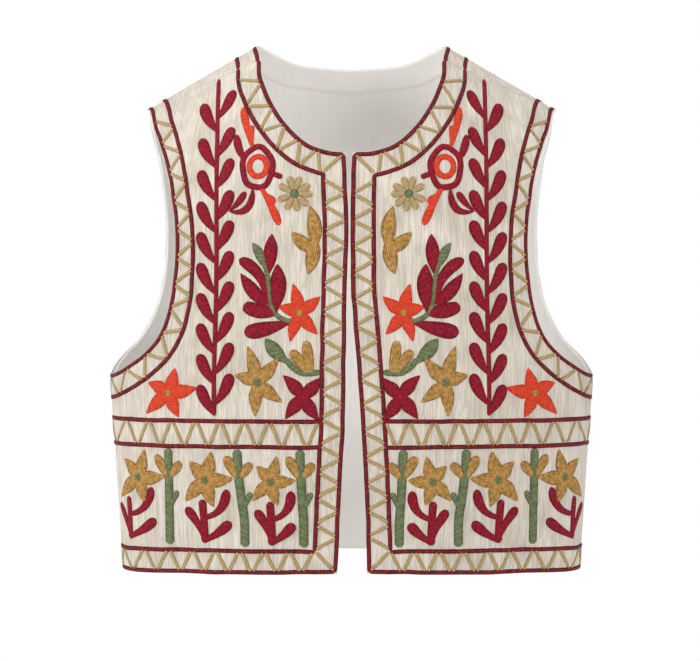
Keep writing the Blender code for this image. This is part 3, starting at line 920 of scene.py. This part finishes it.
# Plain woven: a flatter and cooler white than the gauze, with hardly a crease, and painted shade along the
# sewn line below the neck
LINING = cotton("plain cotton lining", "#F6F4F0", "#EAE6E0", 0.0120, 0.0001, 0.3, 0.75)
FLOSS = {
    # Satin stitch: a deep red that breaks into fine leaning ribs
    "crimson": floss("crimson embroidery cotton", "#A40E2A", "#4A0210", 0.0009, 0.0120, 0.0002, satin=True),
    # Chain stitch in thick thread: one dark red bead after another
    "border": floss("dark crimson border cotton", "#841A24", "#30050A", 0.0036, 0.0034, 0.0004),
    # Satin stitch: the hottest colour, in fine leaning ribs
    "orange": floss("orange embroidery cotton", "#EE4A2C", "#A02A14", 0.0009, 0.0120, 0.0002, satin=True),
    # Rows of short stitches: a dull gold with brown grains, partly random tone and partly painted shade
    # between the stitches
    "gold": floss("old gold embroidery cotton", "#CC9E56", "#6E4A1C", 0.0017, 0.0026, 0.0003),
    # Long thin stitches: pale bars, only a little darker than the gauze
    "olive": floss("pale olive gold embroidery cotton", "#C8AE80", "#80683F", 0.0015, 0.0040, 0.0003),
    # Satin stitch: a greyed leaf green, with painted shade between its ribs
    "green": floss("sage green embroidery cotton", "#7E8A62", "#363F24", 0.0010, 0.0120, 0.0002, satin=True),
}


# The borders of a front

EDGE_LINE = 0.0021  # from the cloth's edge to the middle of the line beside it
BAND = 0.0197
INSET = EDGE_LINE + BAND  # from the cloth's edge to the middle of the inner line
CORNER_NEAR = 0.9 * EDGE_LINE  # how near a line comes to the edge that it meets
CORNER_TRIM = 0.0014  # how far an inner line runs past the middle of the one that it meets
MID_BAND_Z = (-0.3261, -0.3498)
HEM_BAND_Z = -0.4455
HEM_BAND_FALL = 0.0032  # how much lower the hem's band starts at the side
NECK_MORE = 0.0018  # how much wider the neck's band is at the shoulder
HOLE_LOW_Z = -0.290  # the armhole's inner line stops at the side seam's place at this height
SEAM_MARGIN = 0.0010  # how far from the side seam a level line ends
LEVEL_PLACES = 200

# Millimetres between the armhole's two lines, from the side seam up to the tip of the shoulder
ARMHOLE_BAND = {
    "share": (0, 0.14, 0.26, 0.345, 0.42, 0.49, 0.555, 0.655, 0.75, 0.83, 0.92, 1),
    "width": (22.9, 21.6, 20.7, 20.2, 19.5, 18.2, 17.0, 16.7, 17.5, 18.5, 18.8, 16.5),
}

# Shares of the inner and the outer line at which the bars of a band turn
ARMHOLE_TURNS = (
    (0.006, 0.101, 0.193, 0.272, 0.352, 0.425, 0.489, 0.550, 0.618, 0.691, 0.766, 0.845),
    (0.045, 0.148, 0.230, 0.304, 0.374, 0.435, 0.503, 0.576, 0.650, 0.730, 0.821, 0.912),
)
NECK_TURNS = ((0.092, 0.318, 0.522, 0.686, 0.839, 0.985), (0.192, 0.405, 0.560, 0.705, 0.835))
OPENING_TURNS = even_turns(0.017, 1.0, 14)
LEVEL_TURNS = np.linspace(0.0298, 0.2114, 17)  # metres out from the centre line
HEM_TURNS = LEVEL_TURNS + 0.0047


def armhole_band(shares):
    """Metres from the armhole's edge to the line inside it."""
    return np.interp(shares, ARMHOLE_BAND["share"], ARMHOLE_BAND["width"]) * MM


def far_from(path, edge, distance):
    """The part of a path that lies at least a distance from an edge."""
    points, others = body(path[:, 0], path[:, 1]), body(edge[:, 0], edge[:, 1])
    near = np.linalg.norm(points[:, None] - others[None], axis=-1).min(axis=1)
    return path[near >= distance]


def level_line(z, start, side, fall=0.0):
    """A path from an angle round the body to the side seam, at a height or falling to the side."""
    stop = side_seam(z, side)[0]
    reach = np.linspace(across_of(start), across_of(stop) - SEAM_MARGIN, LEVEL_PLACES)
    around = np.interp(reach, REACH_RUN, REACH_TURNS)
    z = z - fall * np.sin(around) ** 4
    return np.stack([around, over_from_drop(ridge(x_at(around, z)) - z, side)], axis=-1)


def short_of_side(path, side):
    """The part of a path that lies in front of the side seam, or behind it."""
    return path[path[:, 0] < side_seam(HOLE_LOW_Z, side)[0]]


def front_borders(panel, opening):
    """The lines along a front's edges and bands, and the bars between them."""
    edges = front_edges(opening)
    neck, front, hem, hole = (beside(edge, EDGE_LINE) for edge in edges.values())
    neck = far_from(neck, edges["opening"], CORNER_NEAR)
    front = far_from(far_from(front, edges["neck"], CORNER_NEAR), edges["hem"], CORNER_NEAR)
    hem = far_from(hem, edges["opening"], CORNER_NEAR)

    neck_inner = beside(edges["neck"], INSET + NECK_MORE * (1 - EVEN_SHARES))
    neck_inner = far_from(neck_inner, edges["opening"], INSET - CORNER_TRIM)
    front_inner = far_from(beside(edges["opening"], INSET), edges["neck"], INSET - CORNER_TRIM)
    heights = body(front_inner[:, 0], front_inner[:, 1])[:, 2]
    front_inner, heights = front_inner[heights > HEM_BAND_Z], heights[heights > HEM_BAND_Z]
    hole_inner = short_of_side(beside(edges["armhole"], armhole_band(EVEN_SHARES)), -1)

    starts = [np.interp(-z, -heights, front_inner[:, 0]) for z in (*MID_BAND_Z, HEM_BAND_Z)]
    mid_top, mid_low = (level_line(z, start, -1) for z, start in zip(MID_BAND_Z, starts))
    hem_inner = level_line(HEM_BAND_Z, starts[2], -1, HEM_BAND_FALL)
    for line in (neck, front, hem, hole, neck_inner, front_inner, hole_inner, mid_top, mid_low, hem_inner):
        line_of_stitches(panel, "border", line, HOLE_WIDTH if line is hole else BORDER_WIDTH)

    zigzag(panel, neck_inner, neck, *NECK_TURNS)
    top, low = (body(*front_inner[k])[2] for k in (0, -1))
    heights = body(front[:, 0], front[:, 1])[:, 2]
    zigzag(panel, front_inner, front[(heights < top) & (heights > low)], *OPENING_TURNS)
    bars(panel, front_inner[[0, -1]], front[[0, -1]])
    zigzag(panel, mid_top, mid_low, *level_turns(mid_top, mid_low, LEVEL_TURNS))
    zigzag(panel, hem_inner, hem, *level_turns(hem_inner, hem, HEM_TURNS))
    zigzag(panel, hole_inner, hole, *ARMHOLE_TURNS)


# The motifs of a front, in millimetres out from the centre line and up

def column(x, z):
    """Points at one distance from the centre line, one for each height."""
    return np.stack([np.full(len(z), x), z], axis=-1)


def tall_spray(panel):
    """A long stem with leaves to both sides."""
    stem(panel, "crimson", [(125.6, -5.6), (124.3, -77), (123.9, -206), (126.1, -321)], 4.2)
    tips = np.array((-17.7, -54.4, -84.4, -114.3, -142.2, -170.2, -198.0, -226.0, -254.0, -282.4))
    petals(panel, "crimson", column(124.6, tips - 27.5), column(110.8, tips), 2.2, 11.2, "leaf")
    tips = np.array((-29.9, -64.4, -95.0, -124.4, -152.6, -180.8, -208.6, -236.4, -264.4, -292.6))
    petals(panel, "crimson", column(125.2, tips - 27.5), column(139.6, tips), -2.2, 11.2, "leaf")


def ring_flower(panel):
    """A lumpy ring round another, with buds and leaves."""
    turn = np.linspace(0, 2.06 * math.pi, 30)
    ring = np.stack([np.sin(turn), np.cos(turn)], axis=-1)
    lumps = 1 + 0.035 * np.cos(5 * turn[:, None] + 0.6)
    stem(panel, "crimson", (86.2, -93.6) + ring * lumps * (13.9, 19.0), 5.7, ends=False)
    stem(panel, "orange", (85.6, -92.8) + ring * (7.9, 9.2), 5.5, ends=False, step=1.5)
    petals(panel, "crimson", (74.0, -99), (63.4, -103), 0, 5.2, "even")
    petals(panel, "orange", (90.9, -74), (100.6, -35.5), -1.4, 7.4, "club")
    petals(panel, "orange", (91.4, -69), (92.4, -53.5), 0, 4.8, "club")
    petals(panel, "orange", (83.0, -112), (65.5, -147), -1.0, 7.6, "club")
    petals(panel, "orange", (79.8, -119.0), (69.6, -127.0), 0, 8.0, "round")
    petals(panel, "crimson", (112.5, -133.5), (90.4, -113), 11.0, 7.0, "taper")
    petals(panel, "crimson", (111.5, -133), (97.0, -116), 1.5, 6.6, "leaf")
    petals(panel, "crimson", (97.6, -87), (106.3, -62), -2.2, 7.6, "round")


def daisy(panel):
    """Nine short petals round a heart."""
    turn = np.radians((30, 73, 108, 150, 182, 222, 260, 297, 338))
    rays = np.stack([np.cos(turn), np.sin(turn)], axis=-1)
    centre = np.array([52.2, -118.2])
    petals(panel, "olive", centre + 4 * rays, centre + 16.4 * rays, 0, 6.6, "round")
    petals(panel, "green", centre - (0, 4), centre + (0, 4), 0, 8, "dot", DAISY_HEART_HEIGHT)


def three_leaves(panel):
    """Three leaves from one foot."""
    petals(panel, "gold", (34.6, -168), (38.3, -129.5), 3.0, 13.6, "petal")
    petals(panel, "gold", (33.5, -171), (54.4, -153.0), -1.4, 12.4, "petal")
    petals(panel, "gold", (33.8, -159), (39.6, -192.0), -1.4, 13.6, "petal")


def plume(panel):
    """A curved stalk with a fan of leaves and a star at its foot."""
    petals(panel, "crimson", (77.4, -194.5), (72.7, -155.0), 1.0, 13.0, "oval")
    petals(panel, "green", (78.3, -188), (90.4, -163), 1.4, 8.8, "oval")
    stalk = [(79.5, -181), (76.6, -193), (75.7, -204), (74.8, -214)]
    stalk += [(72.2, -223.5), (68, -229.3), (62, -233), (54, -235.3)]
    stem(panel, "green", stalk, 4.5)
    petals(panel, "crimson", (76.5, -219), (102.8, -178.2), 8.6, 11.2, "club")
    petals(panel, "crimson", (76.8, -219.5), (101.2, -190.8), -1.9, 12.8, "petal")
    petals(panel, "crimson", (70.5, -225.8), (98.6, -220.0), -2.2, 13.4, "blunt")
    petals(panel, "crimson", (57.5, -235.6), (98.0, -245), -1.2, 14.4, "leaf")
    petals(panel, "crimson", (69.6, -226.5), (67.8, -182.5), 1.8, 15.4, "oval")
    rays = (27, 24, 25.5, 27.5, 20)
    star(panel, "orange", (47.4, -226.9), (77, 142, 230, 288, 15), rays, 11.8, "gold", 7.6)


def leaf_and_bud(panel):
    """A leaf and a bud on one stalk."""
    petals(panel, "green", (57.5, -272.5), (78.6, -250.3), -1.5, 13.0, "oval")
    stem(panel, "green", [(60.5, -268.5), (52, -278), (45, -281.8), (38.2, -282.1), (28.6, -280.9)], 5.4)
    petals(panel, "gold", (40.6, -281.0), (55.4, -261.4), 0.6, 10.2, "blunt")
    petals(panel, "gold", (37.4, -281.0), (41.3, -252.4), -0.4, 10.2, "blunt")


def low_stars(panel):
    """Three flowers above the band across the waist."""
    rays = (34.5, 30, 29, 31.5, 21.5)
    star(panel, "gold", (86, -290.3), (75, 131, 218.5, 274, 16.5), rays, 12.6, "green", 8.4)
    star(panel, "crimson", (44.3, -303.4), (47, 133, 236, 308), (26.5, 24, 26, 26), 12.6)
    rays = (24, 27.5, 24.5, 29.5, 22)
    star(panel, "orange", (169.1, -300.7), (105, 169, 246, 318, 25), rays, 13.2, "gold", 7.6)


# The frieze above the hem, from the side to the front edge
FRIEZE = {
    "star": (199.2, 135.1, 74.2),
    "star_z": (-380.2, -380.6, -381.5),
    "star_size": (1.0, 1.0, 0.87),
    "coral": (206.8, 135.4, 72.6),
    "coral_z": (-438.8, -438.9, -439.8),
    "coral_size": (1.0, 1.0, 0.82),
    "arm": (12.4, 18.5, 15.4),
    "stalk": (169.4, 97.6, 43.6),
    "lean": (0.3, 7.6, 3.6),
}
STALK_Z = -441.3


def frieze_group(panel, star_x, star_z, star_size, coral, coral_z, coral_size, arm, stalk, lean):
    """A star over a coral sprig and the stalk beside them, which leans out by lean at its top."""
    rays = np.array((27.5, 26.5, 26, 28, 22)) * star_size
    star(panel, "gold", (star_x, star_z), (103, 176, 252, 313, 48), rays, 13.6 * star_size, "green")
    foot = np.array((coral, coral_z))
    reach = np.array((coral_size, 1))
    stem(panel, "crimson", [foot, foot + (1.0, 20) * reach, foot + (2.6, 40) * reach], 7.4)
    roots = np.array([(1.0, 5), (-1.8, 24), (-1.0, 3)]) * reach
    tips = np.array([(arm / coral_size, 32), (-20.5, 50), (-24.5, 20)]) * reach
    petals(panel, "crimson", foot + roots, foot + tips, (2.0, 6.5, 1.5), (9.2, 9.4, 9.8), "club")
    base = np.array((stalk, STALK_Z))
    stalk_points = np.array([(0, 0), (0.12 * lean, 28), (0.45 * lean, 44), (0.8 * lean, 66), (lean, 89)])
    stem(panel, "green", base + stalk_points, 8.4)
    top = base + (0.8 * lean, 62)
    petals(panel, "gold", [top, top], top + [(12.5, 21), (-12.0, 15)], 0, (10.0, 9.0), "round")
    side = base + (0.35 * lean - 2.0, 35)
    petals(panel, "green", side, side + (-6.0, 15), 0, 5.6, "club")


def front_motifs(panel):
    """All motifs of one front."""
    for motif in (tall_spray, ring_flower, daisy, three_leaves, plume, leaf_and_bud, low_stars):
        motif(panel)
    for group in zip(*FRIEZE.values()):
        frieze_group(panel, *group)


# The borders of the back

BACK_NECK_LINE = 0.0032
BACK_TURNS = {"neck": (0.24, 0.97, 4), "level": (0.0, 0.98, 11), "armhole": (0.04, 0.80, 10)}


def back_borders():
    """The lines and bars of both halves of the back."""
    hem_edge = back_places([0.0], EVEN_SHARES)[0][::-1]
    neck_edge = back_places([BACK_ROWS], EVEN_SHARES)[0]
    hole_edge = armhole(BACK_ARMHOLE, 1)
    hem, hole = beside(hem_edge, -EDGE_LINE), beside(hole_edge, -EDGE_LINE)
    neck = beside(neck_edge, -BACK_NECK_LINE)
    hole_inner = short_of_side(beside(hole_edge, -armhole_band(EVEN_SHARES)), 1)
    neck_inner = beside(neck_edge, -(INSET + NECK_MORE * (1 - EVEN_SHARES)))
    mid_top, mid_low = (level_line(z, 0.0, 1) for z in MID_BAND_Z)
    hem_inner = level_line(HEM_BAND_Z, 0.0, 1, HEM_BAND_FALL)
    for panel in ("back", "back_other"):
        for line in (hem, neck, hole, hole_inner, neck_inner, mid_top, mid_low, hem_inner):
            line_of_stitches(panel, "border", line, BORDER_WIDTH)
        zigzag(panel, neck_inner, neck, *even_turns(*BACK_TURNS["neck"]))
        zigzag(panel, hem_inner, hem, *even_turns(*BACK_TURNS["level"]))
        zigzag(panel, mid_top, mid_low, *even_turns(*BACK_TURNS["level"]))
        zigzag(panel, hole, hole_inner, *even_turns(*BACK_TURNS["armhole"]))


# Making the pieces

FRONT_SEED = 11
BACK_SEED = 31


def make_front(panel, side):
    """One front with its embroidery. side is -1 for the one at -X and 1 for the one at +X."""
    opening = side * np.array(OPENING["right_front" if side < 0 else "left_front"])
    rows = finer_ends(FRONT_ROWS, FRONT_ROWS * ROWS_EACH, RIM_ROWS)
    places = front_places(opening, rows, finer_ends(1, FRONT_COLUMNS, RIM_SHARES)) * (side, 1)
    piece = cloth_piece(f"{panel}_cloth", places, FRONT_WALL, FRONT_SEED + side)
    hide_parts(panel)
    front_borders(panel, opening)
    front_motifs(panel)
    threads = embroidered(panel, side < 0)


def make_back():
    """The back with its embroidery."""
    rows = finer_ends(BACK_ROWS, BACK_ROWS * ROWS_EACH, RIM_ROWS)
    places = both_halves(rows, finer_ends(1, BACK_HALF_COLUMNS, [0.0]))
    piece = cloth_piece("back_cloth", places, BACK_WALL, BACK_SEED)
    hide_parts("back")
    back_borders()
    threads = embroidered("back", False) + embroidered("back_other", True)


FACING = 0.0235  # how far below the neck the line sewn across the inside runs
FACING_SEAM = 0.0020
FACING_DEPTH = 0.0007
PUFF = 0.0006  # how far the lining stands in and out between its edges
PUFF_SIZE = (0.030, 0.055)
PUFF_EDGE = 0.02
PUFF_SEED = 51
SHORT_OF_EDGE = 0.3  # share of a step by which the lining ends inside the back's edge
FACING_ROW = 24  # from here up the rows are fine enough for the sewn line
FACING_ROWS = 40


def make_lining():
    """The lining inside the back, with the line that is sewn across it below the neck."""
    lower = np.linspace(0, FACING_ROW, FACING_ROW * LINING_ROWS_EACH + 1)[:-1]
    rows = np.concatenate([lower, np.linspace(FACING_ROW, BACK_ROWS, FACING_ROWS + 1)])
    places = both_halves(rows, np.linspace(0, 1, LINING_HALF_COLUMNS + 1))
    points, normals = cloth(places[..., 0], places[..., 1])
    flat = flat_of(places)
    puff = PUFF * ripple(flat[..., 0], flat[..., 1], *PUFF_SIZE, PUFF_SEED)
    puff *= np.clip(from_edges(points) / PUFF_EDGE, 0, 1)
    below = np.linalg.norm(np.diff(points[::-1], axis=0), axis=-1).cumsum(axis=0)
    below = np.insert(below, 0, 0, axis=0)[::-1]
    seam = np.exp(-(((below - FACING) / FACING_SEAM) ** 2))
    inward = BACK_WALL + LINING_GAP + PUFF + puff + FACING_DEPTH * seam
    top = points - inward[..., None] * normals
    bottom = top - LINING_WALL * normals
    for grid in (top, bottom):
        for _ in range(2):
            grid[0] += SHORT_OF_EDGE * (grid[1] - grid[0])
            grid[-1] += SHORT_OF_EDGE * (grid[-2] - grid[-1])
            grid = grid.swapaxes(0, 1)
    shell = grids([top], [bottom])
    # The sewn line's groove is passed as the crease, so the lining's colour gets painted shade along it
    piece = new_object("back_lining_cloth", shell, [LINING, LINING], flat.reshape(-1, 2), crease=seam)
    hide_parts("back_lining")


# The stage

FLOOR_Z = -0.64
FLOOR_HALF = 6.0
PAPER_FADE = (0.72, 0.58)  # shares of a ball round the origin where the paper starts and ends its fade
AMBIENT = 0.38
LAMPS = {  # place, width in metres and power in watts
    "key": ((-2.2, -1.0, 0.5), 1.0, 34),
    "fill": ((1.6, -2.0, 0.3), 1.2, 19),
    "top": ((0.2, -0.5, 2.0), 1.6, 25),
}
LAMP_AIM = (0, 0, -0.25)
CAMERA_PLACE = (-0.00145, -1.8, -0.243)
LENS = 96.07
FILM_WIDTH = 36


def make_floor():
    """A plain pale floor that ends in the white behind it."""
    floor = bmesh.new()
    bmesh.ops.create_grid(floor, x_segments=1, y_segments=1, size=FLOOR_HALF)
    mesh = bpy.data.meshes.new("floor")
    floor.to_mesh(mesh)
    floor.free()
    mesh.transform(Matrix.Translation((0, 0, FLOOR_Z)))
    # Pressed paper: an even matt white that takes a soft shadow and no shine
    matt = {"Roughness": 0.9, "Emission Color": (1, 1, 1, 1), "Specular IOR Level": 0}
    paper, tree, shader = new_material("white paper", matt)
    place = node(tree, "TexCoord", out="Object")
    place = node(tree, "Mapping", {"Vector": place, "Location": (0, 0, -FLOOR_Z)})
    near = node(tree, "TexGradient", [place], gradient_type="SPHERICAL")
    far = node(tree, "MapRange", [near, *PAPER_FADE, 0.0, 1.0], interpolation_type="SMOOTHSTEP")
    colour = node(tree, "Mix", {0: far, 6: linear("#F4F4F4"), 7: linear("#000000")}, 2, data_type="RGBA")
    tree.links.new(colour, shader.inputs["Base Color"])
    tree.links.new(far, shader.inputs["Emission Strength"])
    mesh.materials.append(paper)
    plane = bpy.data.objects.new("floor", mesh)
    bpy.context.scene.collection.objects.link(plane)


def light_stage():
    """White all round, and three large lamps."""
    world = bpy.data.worlds.new("studio")
    world.use_nodes = True
    tree = world.node_tree
    seen = node(tree, "LightPath", out="Is Camera Ray")
    strength = node(tree, "MapRange", [seen, 0.0, 1.0, AMBIENT, 1.0])
    tree.links.new(strength, tree.nodes["Background"].inputs["Strength"])
    tree.nodes["Background"].inputs["Color"].default_value = (1, 1, 1, 1)
    bpy.context.scene.world = world
    for name, (place, size, power) in LAMPS.items():
        light = bpy.data.lights.new(name, "AREA")
        light.size = size
        light.energy = power
        lamp = bpy.data.objects.new(name, light)
        lamp.location = place
        aim = Vector(LAMP_AIM) - lamp.location
        lamp.rotation_euler = aim.to_track_quat("-Z", "Y").to_euler()
        bpy.context.scene.collection.objects.link(lamp)


def place_camera():
    """A level camera in front."""
    camera = bpy.data.cameras.new("camera")
    camera.lens = LENS
    camera.sensor_width = FILM_WIDTH
    seat = bpy.data.objects.new("camera", camera)
    seat.location = CAMERA_PLACE
    seat.rotation_euler = (QUARTER, 0, 0)
    bpy.context.scene.collection.objects.link(seat)
    bpy.context.scene.camera = seat
    bpy.context.scene.view_settings.view_transform = "Standard"


make_front("front_right", -1)
make_front("front_left", 1)
make_back()
make_lining()
make_floor()
light_stage()
place_camera()
